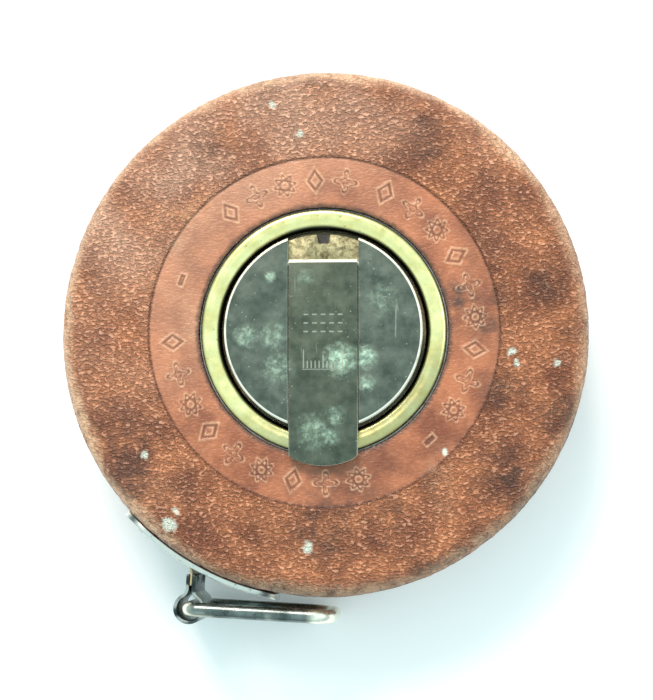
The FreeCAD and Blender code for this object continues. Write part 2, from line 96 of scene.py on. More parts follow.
CLASP_DEG = -94.2        # the way the end clasp hangs
CLASP_START = 1.1
CLASP_HALF_W = 7.8
LEAF_T = 0.6
LEAF_OUT = 0.8           # outer face of a leaf from the clasp's middle
EYE_U = 6.8              # mouth to the eye's centre
EYE_R = 2.65
EYE_FILLET = 1.2
WIRE_R = 1.2
RING_DEG = -3.2          # the way the ring lies
RING_L = 24.2
RING_HALF_W = 9.7

# Sizes of the looks only
HOLE_R = 21.1            # the leather's edge, drawn in close round the bezel
GROOVE_R = 29.8          # tooled line round the ornament band
MOTIF_R = 25.75          # middle of the ornament
PLATE_HALF_DEG = 18.9
BEND = 1.6               # the tape bends over this far each side of the mouth


def polar(radius, degrees, z=0.0):
    angle = math.radians(degrees)
    return np.array([radius * math.cos(angle), radius * math.sin(angle), z])


def on_arc(centre, radius, degrees):
    return np.array(centre) + polar(radius, degrees)[:2]


MOUTH = polar(MOUTH_R, MOUTH_DEG)
EYE = MOUTH + polar(EYE_U, CLASP_DEG)


# ---- noise and masks, on arrays of points in millimetres

def hashed(cell, seed):
    """A number from -1 to 1 for each whole-numbered cell."""
    n = cell[..., 0] * 73856093 ^ cell[..., 1] * 19349663 ^ cell[..., 2] * 83492791 ^ (seed * 2654435761)
    n = (n & 0xFFFFFFFF).astype(np.uint32)
    n ^= n >> 16
    n *= np.uint32(0x7FEB352D)
    n ^= n >> 15
    n *= np.uint32(0x846CA68B)
    n ^= n >> 16
    return n.astype(np.float64) / 2147483647.5 - 1.0


def noise(points, pitch, seed):
    """Smooth noise from -1 to 1 whose lumps are about one pitch apart."""
    p = points / pitch
    base = np.floor(p).astype(np.int64)
    f = p - base
    f = f * f * f * (f * (f * 6 - 15) + 10)
    total = 0.0
    for dx in (0, 1):
        for dy in (0, 1):
            for dz in (0, 1):
                weight = np.where(dx, f[..., 0], 1 - f[..., 0])
                weight = weight * np.where(dy, f[..., 1], 1 - f[..., 1])
                weight = weight * np.where(dz, f[..., 2], 1 - f[..., 2])
                total = total + weight * hashed(base + np.array([dx, dy, dz]), seed)
    return total


def octaves(points, pitch, seed):
    """Noise with finer noise on it, in three layers."""
    return sum(noise(points, pitch / 2 ** k, seed + 17 * k) / 2 ** k for k in range(3)) / 1.6


def step(low, high, value):
    """0 up to low, 1 from high, and smooth between; low may be the larger."""
    t = np.clip((value - low) / (high - low), 0, 1)
    return t * t * (3 - 2 * t)


def blob(points, at, size):
    """1 at a point, falling to 0 a size away, in plan."""
    gap = np.hypot(points[..., 0] - at[0], points[..., 1] - at[1])
    return 1 - step(0, size, gap)


# ---- mesh building

def new_mesh(name, verts, faces, material, smooth=True, masks=None):
    mesh = bpy.data.meshes.new(name)
    mesh.from_pydata((np.asarray(verts, float) * MM).tolist(), [], faces)
    mesh.materials.append(material)
    if smooth:
        mesh.shade_smooth()
    for mask, values in (masks or {}).items():
        layer = mesh.attributes.new(mask, "FLOAT", "POINT")
        layer.data.foreach_set("value", np.asarray(values, np.float32).ravel())
    mesh.update()
    obj = bpy.data.objects.new(name, mesh)
    bpy.context.scene.collection.objects.link(obj)
    return obj


def grid_faces(rows, cols, wrap_rows, wrap_cols):
    """Four-cornered faces over a grid of points, closed on itself in either direction."""
    i = np.arange(rows if wrap_rows else rows - 1)
    j = np.arange(cols if wrap_cols else cols - 1)
    i, j = np.meshgrid(i, j, indexing="ij")
    a = i * cols + j
    b = i * cols + (j + 1) % cols
    c = (i + 1) % rows * cols + (j + 1) % cols
    d = (i + 1) % rows * cols + j
    return np.stack([a, b, c, d], -1).reshape(-1, 4).tolist()


def line(start, end, spacing):
    """Points along a straight line, without its last one."""
    start, end = np.array(start, float), np.array(end, float)
    count = max(1, int(round(np.linalg.norm(end - start) / spacing)))
    t = np.linspace(0, 1, count, endpoint=False)[:, None]
    return start + (end - start) * t


def arc(centre, radius, start, end, spacing):
    """Points along an arc between two directions in degrees, without its last one."""
    count = max(2, int(round(abs(math.radians(end - start)) * radius / spacing)))
    angle = np.radians(np.linspace(start, end, count, endpoint=False))
    return np.stack([centre[0] + radius * np.cos(angle), centre[1] + radius * np.sin(angle)], -1)


def lathe(name, profile, segments, material, relief=None, masks=None):
    """Turns a closed (radius, height) outline about Z. relief moves each point along its normal."""
    ahead = np.roll(profile, -1, 0) - np.roll(profile, 1, 0)
    normal = np.stack([-ahead[:, 1], ahead[:, 0]], -1)
    normal /= np.linalg.norm(normal, axis=1)[:, None] + 1e-9
    turn = np.linspace(0, 2 * math.pi, segments, endpoint=False)
    cos, sin = np.cos(turn), np.sin(turn)

    def spun(values):
        return np.stack([values[:, :1] * cos, values[:, :1] * sin, values[:, 1:] + 0 * cos], -1)

    points = spun(profile)
    normals = spun(normal)
    if relief:
        points = points + normals * relief(points, normals)[..., None]
    values = {key: make(points, normals) for key, make in (masks or {}).items()}
    faces = grid_faces(len(profile), segments, True, True)
    return new_mesh(name, points.reshape(-1, 3), faces, material, masks=values)


def swept(name, path, frames, section, material, closed=False, masks=None):
    """Sweeps a closed section, in each place's own two directions, along a path."""
    rows = []
    for point, (side, up) in zip(path, frames):
        rows.append(point + section[:, :1] * side + section[:, 1:] * up)
    rows = np.array(rows)
    faces = grid_faces(len(path), len(section), closed, True)
    if not closed:
        faces.append(list(range(len(section)))[::-1])
        last = (len(path) - 1) * len(section)
        faces.append([last + k for k in range(len(section))])
    faces = [face[::-1] for face in faces]
    values = {key: make(rows, rows) for key, make in (masks or {}).items()}
    return new_mesh(name, rows.reshape(-1, 3), faces, material, masks=values)


def prism(name, outline, low, high, material):
    """A flat-topped solid on a plan outline."""
    count = len(outline)
    verts = [(x, y, low) for x, y in outline] + [(x, y, high) for x, y in outline]
    faces = [list(range(count))[::-1], list(range(count, 2 * count))]
    for k in range(count):
        n = (k + 1) % count
        faces.append([k, n, count + n, count + k])
    return new_mesh(name, verts, faces, material, smooth=False)


def block(name, across, along, heights, material):
    """A box with its sides along the axes, from three (low, high) pairs."""
    (x0, x1), (y0, y1) = across, along
    return prism(name, [(x0, y0), (x1, y0), (x1, y1), (x0, y1)], *heights, material)


def slanted_block(name, degrees, near, far, half, heights, material):
    """A block that lies along a direction from the axis."""
    side = polar(half, degrees + 90)
    corners = [polar(near, degrees) - side, polar(near, degrees) + side]
    corners += [polar(far, degrees) + side, polar(far, degrees) - side]
    return prism(name, [corner[:2] for corner in corners], *heights, material)


def circle(radius, count, at=(0, 0)):
    turn = np.linspace(0, 2 * math.pi, count, endpoint=False)
    return np.stack([at[0] + radius * np.cos(turn), at[1] + radius * np.sin(turn)], -1)


def settle(obj):
    """Turns the object's modifiers into mesh."""
    mesh = bpy.data.meshes.new_from_object(obj.evaluated_get(bpy.context.evaluated_depsgraph_get()))
    obj.modifiers.clear()
    obj.data = mesh


def combine(obj, operation, *tools):
    for tool in tools:
        change = obj.modifiers.new("change", "BOOLEAN")
        change.object = tool
        change.operation = operation
        change.solver = "EXACT"
    settle(obj)
    for tool in tools:
        bpy.data.objects.remove(tool)


def cut(obj, *tools):
    combine(obj, "DIFFERENCE", *tools)


def bevelled(obj, width, segments):
    """Rounds the object's sharp edges, and keeps the creases that are left crisp."""
    change = obj.modifiers.new("edges", "BEVEL")
    change.width = width * MM
    change.segments = segments
    change.limit_method = "ANGLE"
    change.angle_limit = math.radians(35)
    settle(obj)
    obj.data.shade_smooth()
    obj.data.set_sharp_from_angle(angle=math.radians(32))


# ---- materials

class Finish:
    """One procedural material; each method adds a node and returns its output."""

    def __init__(self, name, metallic=0.0, roughness=0.5):
        self.material = bpy.data.materials.new(name)
        self.material.use_nodes = True
        self.tree = self.material.node_tree
        self.shader = self.tree.nodes["Principled BSDF"]
        self.shader.inputs["Metallic"].default_value = metallic
        self.shader.inputs["Roughness"].default_value = roughness
        place = self.tree.nodes.new("ShaderNodeTexCoord")
        self.place = place.outputs["Object"]
        self.normal = place.outputs["Normal"]

    def put(self, socket, value):
        if isinstance(value, bpy.types.NodeSocket):
            self.tree.links.new(value, socket)
        elif value is not None:
            socket.default_value = value

    def stretched(self, scale):
        node = self.tree.nodes.new("ShaderNodeMapping")
        self.put(node.inputs["Vector"], self.place)
        node.inputs["Scale"].default_value = scale
        return node.outputs["Vector"]

    def noise(self, pitch, detail=3.0, rough=0.55, distort=0.0, at=None):
        node = self.tree.nodes.new("ShaderNodeTexNoise")
        self.put(node.inputs["Vector"], at or self.place)
        node.inputs["Scale"].default_value = 1 / (pitch * MM)
        node.inputs["Detail"].default_value = detail
        node.inputs["Roughness"].default_value = rough
        node.inputs["Distortion"].default_value = distort
        return node.outputs["Fac"]

    def cells(self, pitch):
        node = self.tree.nodes.new("ShaderNodeTexVoronoi")
        self.put(node.inputs["Vector"], self.place)
        node.inputs["Scale"].default_value = 1 / (pitch * MM)
        return node.outputs["Distance"]

    def mask(self, name):
        node = self.tree.nodes.new("ShaderNodeAttribute")
        node.attribute_name = name
        return node.outputs["Fac"]

    def calc(self, kind, a, b=None):
        node = self.tree.nodes.new("ShaderNodeMath")
        node.operation = kind
        self.put(node.inputs[0], a)
        self.put(node.inputs[1], b)
        return node.outputs[0]

    def span(self, value, low, high, out_low=0.0, out_high=1.0):
        node = self.tree.nodes.new("ShaderNodeMapRange")
        self.put(node.inputs["Value"], value)
        node.inputs["From Min"].default_value = low
        node.inputs["From Max"].default_value = high
        node.inputs["To Min"].default_value = out_low
        node.inputs["To Max"].default_value = out_high
        return node.outputs["Result"]

    def mix(self, share, a, b):
        node = self.tree.nodes.new("ShaderNodeMix")
        node.data_type = "RGBA"
        self.put(node.inputs[0], share)
        for socket, value in ((node.inputs[6], a), (node.inputs[7], b)):
            self.put(socket, (*value, 1.0) if isinstance(value, tuple) else value)
        return node.outputs[2]

    def part_of(self, vector, axis):
        """One of a vector's three numbers; axis 0, 1 or 2."""
        node = self.tree.nodes.new("ShaderNodeSeparateXYZ")
        self.put(node.inputs[0], vector)
        return node.outputs[axis]

    def height(self):
        return self.part_of(self.place, 2)

    def edges(self):
        """1 on the chamfers round a flat top, 0 on the top and low on the upright sides."""
        tilt = self.calc("ABSOLUTE", self.part_of(self.normal, 2))
        return self.calc("MULTIPLY", self.span(tilt, 0.985, 0.93), self.span(tilt, 0.0, 0.35, 0.15, 1.0))

    def bump(self, height, depth, before=None):
        node = self.tree.nodes.new("ShaderNodeBump")
        self.put(node.inputs["Height"], height)
        node.inputs["Distance"].default_value = depth * MM
        self.put(node.inputs["Normal"], before)
        return node.outputs["Normal"]

    def finish(self, color=None, roughness=None, normal=None, metallic=None):
        self.put(self.shader.inputs["Base Color"], (*color, 1.0) if isinstance(color, tuple) else color)
        self.put(self.shader.inputs["Roughness"], roughness)
        self.put(self.shader.inputs["Normal"], normal)
        self.put(self.shader.inputs["Metallic"], metallic)
        return self.material


def make_leather():
    f = Finish("worn_leather")
    band = f.mask("band")
    wear = f.mask("wear")
    stain_and_shadow = f.mask("stain_and_shadow")
    speck = f.mask("speck")
    raw = f.mask("raw")
    crease_shade = f.mask("crease_shade")
    mottle = f.noise(6.5, 3.5, 0.55)
    cloudy = f.noise(15.0, 3.0, 0.5)
    grain = f.noise(0.40, 1.5, 0.5, 0.5, f.stretched((0.55, 1.0, 1.0)))
    worm = f.span(grain, 0.36, 0.62)
    color = f.mix(f.span(mottle, 0.36, 0.64), (0.250, 0.076, 0.032), (0.62, 0.230, 0.098))
    # painted light: the face is made lighter up and to the left, where the light falls, in cloudy patches
    light_side = f.calc("MULTIPLY", f.mask("pale"), f.span(cloudy, 0.38, 0.60, 0.25, 1.0))
    color = f.mix(light_side, color, (0.72, 0.41, 0.275))
    polished = f.mix(f.span(mottle, 0.36, 0.64), (0.225, 0.062, 0.024), (0.47, 0.160, 0.070))
    # painted light: the burnished band is made lighter up and to the left too
    polished = f.mix(f.calc("MULTIPLY", f.mask("pale"), 0.72), polished, (0.68, 0.36, 0.22))
    color = f.mix(f.calc("MULTIPLY", band, 0.85), color, polished)
    plain = f.span(band, 0.0, 1.0, 1.0, 0.22)
    # painted shade: the hollows of the grain are darkened
    grain_hollow_shade = f.calc("MULTIPLY", f.calc("SUBTRACT", 1.0, worm), plain)
    color = f.mix(f.calc("MULTIPLY", grain_hollow_shade, 0.52), color, (0.10, 0.034, 0.016))
    # painted highlight: the crests of the grain are lightened
    grain_crest_highlight = f.calc("MULTIPLY", f.span(grain, 0.56, 0.72), plain)
    color = f.mix(f.calc("MULTIPLY", grain_crest_highlight, 0.34), color, (0.90, 0.56, 0.38))
    # painted shade: the tooled groove and the ornament's troughs are darkened
    color = f.mix(f.calc("MULTIPLY", crease_shade, 0.75), color, (0.085, 0.026, 0.012))
    # stains, and the painted shadow under the crank arm's tip, darken the leather
    dirt = f.calc("MULTIPLY", stain_and_shadow, f.span(f.noise(2.2, 4.0, 0.65), 0.32, 0.62))
    color = f.mix(f.calc("MULTIPLY", dirt, 0.85), color, (0.050, 0.028, 0.022))
    # wear, and painted highlight on the outer shoulder and the ornament's ridges, lighten the leather
    scuff_and_highlight = f.calc("MULTIPLY", wear, f.span(f.noise(1.6, 4.0, 0.6), 0.30, 0.56))
    color = f.mix(scuff_and_highlight, color, (0.86, 0.54, 0.33))
    color = f.mix(f.calc("MULTIPLY", raw, 0.85), color, (0.090, 0.045, 0.028))
    color = f.mix(speck, color, (0.70, 0.74, 0.62))
    rough = f.span(f.noise(3.0, 3.0, 0.6), 0.3, 0.7, 0.34, 0.52)
    rough = f.calc("SUBTRACT", rough, f.calc("MULTIPLY", band, 0.08))
    fine = f.bump(f.noise(0.22, 2.0, 0.6), 0.030)
    depth = f.calc("MULTIPLY", worm, f.span(band, 0.0, 1.0, 1.0, 0.10))
    normal = f.bump(depth, 0.34, fine)
    f.shader.inputs["IOR"].default_value = 1.5
    return f.finish(color, rough, normal)


def make_brass():
    f = Finish("dull_brass", metallic=1.0)
    film = f.noise(4.0, 4.0, 0.6)
    color = f.mix(f.span(film, 0.35, 0.7), (1.0, 0.95, 0.48), (0.80, 0.69, 0.27))
    spots = f.span(f.noise(0.8, 3.0, 0.6), 0.66, 0.74)
    color = f.mix(f.calc("MULTIPLY", spots, 0.6), color, (0.22, 0.20, 0.10))
    # tarnish in the crevices, and painted shade on the ring's lower right side, darken the brass
    color = f.mix(f.mask("lip"), color, (0.030, 0.036, 0.022))
    rough = f.span(f.noise(1.5, 3.0, 0.6), 0.3, 0.7, 0.20, 0.36)
    normal = f.bump(f.noise(0.35, 3.0, 0.6), 0.006)
    return f.finish(color, rough, normal)


# Patches of verdigris on the disc and the arm: x, y, radius and strength
VERDIGRIS = (
    (2.9, -5.0, 2.9, 1.0), (7.1, -4.6, 2.0, 1.0), (-13.0, -1.0, 2.0, 0.75), (-8.4, -1.0, 2.4, 0.55),
    (-1.5, -17.0, 3.0, 0.6), (-9.0, 9.0, 1.0, 0.9), (7.3, -9.0, 1.4, 0.8), (-7.6, -6.5, 2.6, 0.5),
    (2.0, -14.5, 1.8, 0.6), (-3.0, 8.8, 1.6, 0.35), (10.0, 5.0, 2.8, 0.35), (1.2, -18.0, 1.6, 0.6),
)


def make_patina(name, dark, light, marked=False):
    """Dark plated metal with verdigris and bright worn chamfers, with a painted highlight on the rounded
    edge of the lower half. Where it's marked, the engraving is filled with pale dirt.
    """
    f = Finish(name, metallic=0.75)
    film = f.noise(3.2, 5.0, 0.62)
    color = f.mix(f.span(film, 0.34, 0.66), dark, light)
    pits = f.span(f.cells(0.9), 0.05, 0.16, 1.0, 0.0)
    pits = f.calc("MULTIPLY", pits, f.span(f.noise(2.5, 2.0), 0.45, 0.6))
    color = f.mix(f.calc("MULTIPLY", pits, 0.75), color, (0.42, 0.48, 0.40))
    lines = f.noise(0.5, 2.0, 0.5, 0.0, f.stretched((1.0, 0.07, 1.0)))
    lines = f.calc("MULTIPLY", f.span(lines, 0.66, 0.72), f.span(f.noise(5.0, 1.0), 0.5, 0.6))
    color = f.mix(f.calc("MULTIPLY", lines, 0.5), color, (0.34, 0.39, 0.33))
    crust = f.span(f.noise(1.3, 5.0, 0.72), 0.44, 0.60)
    total = None
    for x, y, size, strength in VERDIGRIS:
        away = f.tree.nodes.new("ShaderNodeVectorMath")
        away.operation = "DISTANCE"
        f.put(away.inputs[0], f.stretched((1.0, 1.0, 0.0)))
        away.inputs[1].default_value = (x * MM, y * MM, 0.0)
        near = f.span(away.outputs["Value"], size * 1.25 * MM, size * 0.45 * MM, 0.0, strength)
        total = near if total is None else f.calc("MAXIMUM", total, near)
    crust = f.calc("ADD", f.calc("MULTIPLY", crust, 0.75), f.calc("MULTIPLY", total, 0.42))
    green = f.calc("MINIMUM", f.calc("MULTIPLY", total, crust), 1.0)
    tint = f.mix(f.span(f.noise(0.9, 4.0), 0.35, 0.65), (0.17, 0.29, 0.22), (0.56, 0.78, 0.60))
    color = f.mix(green, color, tint)
    edge = f.calc("MULTIPLY", f.edges(), f.span(f.noise(2.0, 3.0), 0.30, 0.50, 0.7, 1.0))
    # painted highlight: the rounded edge of the lower half is lightened
    lower_edge_highlight = f.span(f.part_of(f.place, 1), -2.0 * MM, -9.0 * MM)
    rounded = f.span(f.part_of(f.normal, 2), 0.97, 0.90)
    edge = f.calc("MAXIMUM", edge, f.calc("MULTIPLY", lower_edge_highlight, rounded))
    # the worn chamfers, and the painted highlight on the lower half's rounded edge, are lightened
    color = f.mix(edge, color, (0.95, 0.95, 0.84))
    if marked:
        sunk = f.span(f.height(), (ARM_TOP - 0.06) * MM, (ARM_TOP - 0.11) * MM)
        sunk = f.calc("MULTIPLY", sunk, f.span(f.height(), (ARM_TOP - 0.20) * MM, (ARM_TOP - 0.16) * MM))
        color = f.mix(f.calc("MULTIPLY", sunk, 0.65), color, (0.46, 0.50, 0.42))
    rough = f.calc("ADD", f.span(film, 0.3, 0.7, 0.36, 0.52), f.calc("MULTIPLY", green, 0.4))
    metal = f.calc("SUBTRACT", 0.75, f.calc("MULTIPLY", green, 0.75))
    metal = f.calc("SUBTRACT", metal, f.calc("MULTIPLY", edge, 0.55))
    normal = f.bump(f.noise(0.45, 4.0, 0.65), 0.022)
    normal = f.bump(f.calc("MULTIPLY", green, f.noise(0.35, 4.0, 0.7)), 0.10, normal)
    return f.finish(color, rough, normal, metal)


def make_steel(name, dark, light, rub=(0.75, 0.78, 0.74), roughness=0.30):
    f = Finish(name, metallic=0.95)
    film = f.noise(2.4, 4.0, 0.6)
    color = f.mix(f.span(film, 0.35, 0.65), dark, light)
    color = f.mix(f.mask("rub"), color, rub)
    spots = f.span(f.noise(0.7, 3.0, 0.65), 0.62, 0.70)
    color = f.mix(f.calc("MULTIPLY", spots, 0.6), color, (0.06, 0.055, 0.045))
    rough = f.span(f.noise(1.1, 3.0, 0.6), 0.3, 0.7, roughness - 0.07, roughness + 0.12)
    normal = f.bump(f.noise(0.30, 3.0, 0.6), 0.012)
    return f.finish(color, rough, normal)


def make_floor_brass():
    """The rough bare metal on the floor of the crank's channel."""
    f = Finish("bare_channel", metallic=0.55)
    film = f.noise(1.2, 5.0, 0.7, 1.0)
    color = f.mix(f.span(film, 0.36, 0.62), (0.11, 0.090, 0.038), (0.40, 0.38, 0.21))
    # painted shade: the recesses below the channel floor are darkened nearly to black
    recess_shade = f.span(f.height(), (FLOOR_Z - 0.05) * MM, (FLOOR_Z - 0.30) * MM)
    color = f.mix(recess_shade, color, (0.030, 0.032, 0.028))
    rough = f.span(film, 0.3, 0.7, 0.62, 0.42)
    normal = f.bump(film, 0.10)
    return f.finish(color, rough, normal)


def make_tape():
    f = Finish("varnished_linen")
    up_threads = f.noise(0.35, 2.0, 0.5, 0.0, f.stretched((1, 1, 0.2)))
    long_threads = f.noise(0.35, 2.0, 0.5, 0.0, f.stretched((0.2, 0.2, 1)))
    weave = f.calc("ADD", f.calc("MULTIPLY", up_threads, 0.5), f.calc("MULTIPLY", long_threads, 0.5))
    color = f.mix(f.span(weave, 0.35, 0.65), (0.58, 0.48, 0.26), (0.78, 0.68, 0.42))
    color = f.mix(f.span(f.noise(5.0, 4.0), 0.5, 0.75), color, (0.40, 0.30, 0.16))
    color = f.mix(f.mask("ink"), color, (0.03, 0.03, 0.03))
    return f.finish(color, 0.42, f.bump(weave, 0.05))


leather = make_leather()
brass = make_brass()
disc_patina = make_patina("disc_patina", (0.060, 0.080, 0.064), (0.138, 0.170, 0.138))
arm_patina = make_patina("arm_patina", (0.056, 0.073, 0.052), (0.122, 0.146, 0.108), marked=True)
nickel = make_steel("worn_nickel", (0.10, 0.13, 0.12), (0.26, 0.30, 0.28), rub=(0.85, 0.87, 0.80))
clasp_steel = make_steel("dark_steel", (0.030, 0.042, 0.040), (0.095, 0.125, 0.118), roughness=0.28)
ring_steel = make_steel("ring_wire", (0.075, 0.098, 0.092), (0.21, 0.25, 0.235),
                        rub=(0.95, 0.95, 0.80), roughness=0.22)
tin = make_steel("tin_plate", (0.35, 0.36, 0.34), (0.50, 0.51, 0.48), roughness=0.38)
turned = make_steel("turned_steel", (0.26, 0.27, 0.27), (0.42, 0.43, 0.42))
channel = make_floor_brass()
linen = make_tape()


# ---- leather

# Rows of ornament: direction of the first, degrees to the next, and how many
MOTIF_ROWS = ((128.0, -11.6, 5), (66.0, -12.2, 9), (184.0, 12.4, 9))


def motif_places():
    kinds = ("lozenge", "petals", "rosette")
    places = [(first + pitch * k, kinds[k % 3]) for first, pitch, count in MOTIF_ROWS for k in range(count)]
    return places + [(160.0, "dash"), (-46.0, "dash")]


def motif_relief(points):
    """The ornament pressed in round the hub; each outline is a trough with a ridge on both sides."""
    radius = np.hypot(points[..., 0], points[..., 1])
    angle = np.degrees(np.arctan2(points[..., 1], points[..., 0]))
    height = np.zeros_like(radius)
    for at, kind in motif_places():
        turn = (angle - at + 180) % 360 - 180
        across = np.radians(turn) * radius
        along = radius - MOTIF_R
        if kind == "lozenge":
            edge = (np.abs(across) / 1.55 + np.abs(along) / 2.2 - 1) * 1.2
        elif kind == "petals":
            far = np.hypot(across, along)
            edge = far - 1.25 - 0.75 * np.cos(4 * np.arctan2(across, along))
        elif kind == "rosette":
            far = np.hypot(across, along)
            edge = far - 1.55 - 0.35 * np.cos(8 * np.arctan2(across, along))
            edge = np.maximum(edge, 0.75 - far)
        else:
            edge = np.maximum(np.abs(across) - 0.9, np.abs(along) - 0.3)
        near = np.abs(turn) < 9
        stroke = np.abs(edge + (0.32 if kind == "lozenge" else 0.12))
        ridge = np.exp(-(stroke - 0.36) ** 2 / 0.022)
        trough = np.exp(-stroke ** 2 / 0.03)
        height = height + near * (0.11 * ridge - 0.13 * trough)
    return height


def leather_relief(points, normals):
    radius = np.hypot(points[..., 0], points[..., 1])
    on_top = step(0.2, 0.8, normals[..., 2])
    in_band = on_top * (1 - step(GROOVE_R - 0.5, GROOVE_R + 0.1, radius))
    warp = np.stack([noise(points, 1.7, k) for k in (3, 4, 5)], -1) * 0.3
    drawn = (points + warp) * np.array([0.42, 1.0, 1.0])
    folds = 1 - step(0.0, 0.5, np.abs(noise(drawn, 0.85, 8)))
    grain = -0.075 * folds + 0.035 * noise(drawn, 1.3, 12)
    skin = -0.05 + 0.045 * noise(points, 9.0, 21) + (1 - in_band) * grain
    burnish = in_band * (0.010 * noise(points, 1.2, 5) - 0.05)
    groove = -0.17 * np.exp(-(radius - GROOVE_R) ** 2 / 0.035)
    groove = groove + 0.06 * np.exp(-(radius - GROOVE_R - 0.45) ** 2 / 0.05)
    frayed = step(HOLE_R + 1.2, HOLE_R, radius) * (0.05 * noise(points, 0.6, 31) - 0.10)
    rim = step(43.2, 44.6, radius)
    chewed = rim * (-0.06 * np.abs(noise(points, 1.1, 40)) - 0.07 * step(0.25, 0.7, noise(points, 4.5, 41)))
    relief = skin + on_top * (groove + motif_relief(points) + frayed) + burnish + chewed
    return np.where(normals[..., 2] < -0.2, np.minimum(relief, -0.01), relief)


def band_mask(points, normals):
    radius = np.hypot(points[..., 0], points[..., 1])
    return step(0.3, 0.8, normals[..., 2]) * (1 - step(GROOVE_R - 0.4, GROOVE_R + 0.2, radius))


# painted shade in the tooled groove round the band and in the ornament's troughs
def crease_shade_mask(points, normals):
    radius = np.hypot(points[..., 0], points[..., 1])
    groove = np.exp(-(radius - GROOVE_R) ** 2 / 0.05)
    pressed = np.clip(-motif_relief(points) / 0.08, 0, 1)
    return step(0.3, 0.8, normals[..., 2]) * np.clip(groove + 0.7 * pressed, 0, 1)


def wear_and_highlight_mask(points, normals):
    """Rubbed places and painted highlight: the outer shoulder, worn and with a painted highlight stronger
    on the lit side, a painted highlight on the ornament's ridges, and a few rubbed patches.
    """
    radius = np.hypot(points[..., 0], points[..., 1])
    # painted highlight on the shoulder, stronger on the side the light comes from
    lit = 0.5 + 0.5 * step(-0.7, 0.3, (points[..., 1] - points[..., 0]) / CASE_R)
    edge = lit * step(42.4, 44.3, radius + 0.8 * noise(points, 6.0, 51))
    edge = edge * step(0.05, 0.5, np.abs(normals[..., 2]))
    # painted highlight on the ornament's ridges
    highlights = np.clip(motif_relief(points) / 0.09, 0, 1) * step(0.3, 0.8, normals[..., 2])
    patches = step(0.35, 0.8, octaves(points, 10.0, 61))
    return np.clip(0.95 * edge + 0.55 * highlights + 0.25 * patches, 0, 1)


# Dark stains, the painted shadow under the crank arm's tip at (-1.5, -24.6), and darkening of the band
# towards the bottom at (3, -26): x, y, radius and strength
STAINS_AND_SHADOWS = (
    (31.0, -24.0, 8.5, 1.0), (37.5, 8.0, 6.0, 0.9), (40.0, -14.0, 6.5, 0.9), (30.0, -10.0, 7.0, 0.75),
    (-11.0, 43.0, 5.5, 0.8), (-1.5, -24.6, 3.6, 0.8), (-19.5, 31.0, 5.0, 0.6), (3.0, -26.0, 17.0, 0.6),
    (25.0, 3.0, 12.0, 0.42), (-31.0, -27.0, 7.0, 0.55),
)

# Specks of old paint and verdigris: x, y and size
SPECKS = (
    (-26.0, -32.8, 1.3), (-2.6, -36.6, 1.1), (32.0, -3.6, 0.8), (20.4, -20.4, 0.75), (-8.8, 39.0, 0.55),
    (39.5, -5.5, 0.6), (-4.0, 34.0, 0.7), (-30.5, -21.0, 0.6), (32.6, -5.4, 0.6), (-25.0, -30.4, 0.6),
)


# dark stains, the painted shadow under the crank arm's tip, and darkening towards the bottom of the band
# and along the lower right of the rim
def stain_and_shadow_mask(points, normals):
    dark = 0 * points[..., 0]
    for x, y, size, strength in STAINS_AND_SHADOWS:
        dark = np.maximum(dark, strength * blob(points, (x, y), size))
    radius = np.hypot(points[..., 0], points[..., 1])
    angle = np.degrees(np.arctan2(points[..., 1], points[..., 0]))
    # darker along the lower right of the rim
    low_rim = step(-112, -98, angle) * (1 - step(-40, -22, angle)) * step(41.0, 44.3, radius)
    dark = np.maximum(dark, 0.95 * low_rim)
    return np.clip(dark + 0.75 * step(0.22, 0.7, octaves(points, 11.0, 71)), 0, 1)


def light_side_mask(points, normals):
    """Painted light: where the leather is made lighter on the side the light comes from, mostly up and to
    the left.
    """
    lean = (0.75 * points[..., 1] - 0.62 * points[..., 0]) / CASE_R
    return np.clip(step(-0.35, 1.1, lean + 0.45 * octaves(points, 18.0, 131)), 0, 1)


def speck_mask(points, normals):
    total = 0 * points[..., 0]
    ragged = 1 + 0.55 * noise(points, 0.6, 81)
    for x, y, size in SPECKS:
        away = np.hypot(points[..., 0] - x, points[..., 1] - y) / size
        total = np.maximum(total, 1 - step(0.45, 1.0, away * ragged))
    return total * step(0.2, 0.6, np.abs(normals[..., 2]))


def raw_mask(points, normals):
    """The cut edge round the hub."""
    radius = np.hypot(points[..., 0], points[..., 1])
    return 1 - step(HOLE_R + 0.25, HOLE_R + 1.0, radius + 0.2 * noise(points, 0.7, 91))


LEATHER_MASKS = {
    "band": band_mask, "pale": light_side_mask, "crease_shade": crease_shade_mask, "wear": wear_and_highlight_mask, "stain_and_shadow": stain_and_shadow_mask,
    "speck": speck_mask, "raw": raw_mask,
}


def front_profile():
    """From the edge round the hub over the face and down the rim, then back along the inside."""
    centre = (CASE_R - CORNER_R, CASE_H - CORNER_R)
    inner_r = CASE_R - LEATHER
    lip = 0.35
    foot = CASE_H - CAP_WRAP
    fine_to = GROOVE_R + 0.8
    return np.concatenate([
        line((HOLE_R, SHELL_TOP), (HOLE_R, CASE_H - lip), 0.3),
        arc((HOLE_R + lip, CASE_H - lip), lip, 180, 90, 0.14),
        line((HOLE_R + lip, CASE_H), (fine_to, CASE_H), 0.165),
        line((fine_to, CASE_H), (centre[0], CASE_H), 0.31),
        arc(centre, CORNER_R, 90, 0, 0.31),
        line((CASE_R, centre[1]), (CASE_R, foot), 0.4),
        line((CASE_R, foot), (inner_r, foot), 0.45),
        line((inner_r, foot), (inner_r, centre[1]), 1.5),
        arc(centre, CORNER_R - LEATHER, 0, 90, 0.8),
        line((centre[0], SHELL_TOP), (HOLE_R, SHELL_TOP), 5.0),
    ])


